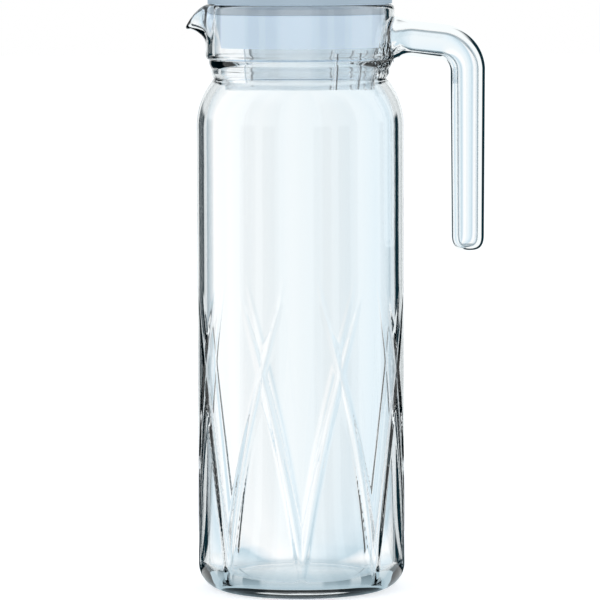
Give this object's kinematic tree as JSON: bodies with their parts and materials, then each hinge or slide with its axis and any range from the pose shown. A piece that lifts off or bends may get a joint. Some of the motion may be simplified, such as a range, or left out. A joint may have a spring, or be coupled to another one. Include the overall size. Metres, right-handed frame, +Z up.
{
  "type": "glass jug with lid",
  "caption": "Tall glass jug with a pulled lip, an open hook handle, leaf-shaped flutes and a push-in lid that turns to pour, strain or close.",
  "frame": {"origin": "middle of the flat base, on the jug's axis, at the surface it stands on", "axes": "+Z up along the jug's axis, +X towards the handle, -X towards the pouring lip"},
  "size_m": [0.1301, 0.09, 0.264],
  "materials": {
    "glass": "clear, fire-polished",
    "frosted_plastic": "pale, frosted, lets light through",
    "clear_plastic": "nearly clear, smooth",
    "seal": "soft, pale, lets light through"
  },
  "bodies": {
    "jug": {"glass_body": "glass", "glass_handle": "glass"},
    "seal": {"lid_seal": "seal"},
    "lid": {"lid_cap": "frosted_plastic", "strainer": "clear_plastic"}
  },
  "joints": [
    {"name": "lid_lift", "type": "slide", "parent": "jug", "child": "seal", "axis": [0, 0, 1], "range_m": [0, 0.06]},
    {"name": "lid_turn", "type": "hinge", "parent": "seal", "child": "lid", "pos_m": [0, 0, 0.2552], "axis": [0, 0, 1], "continuous": true}
  ]
}
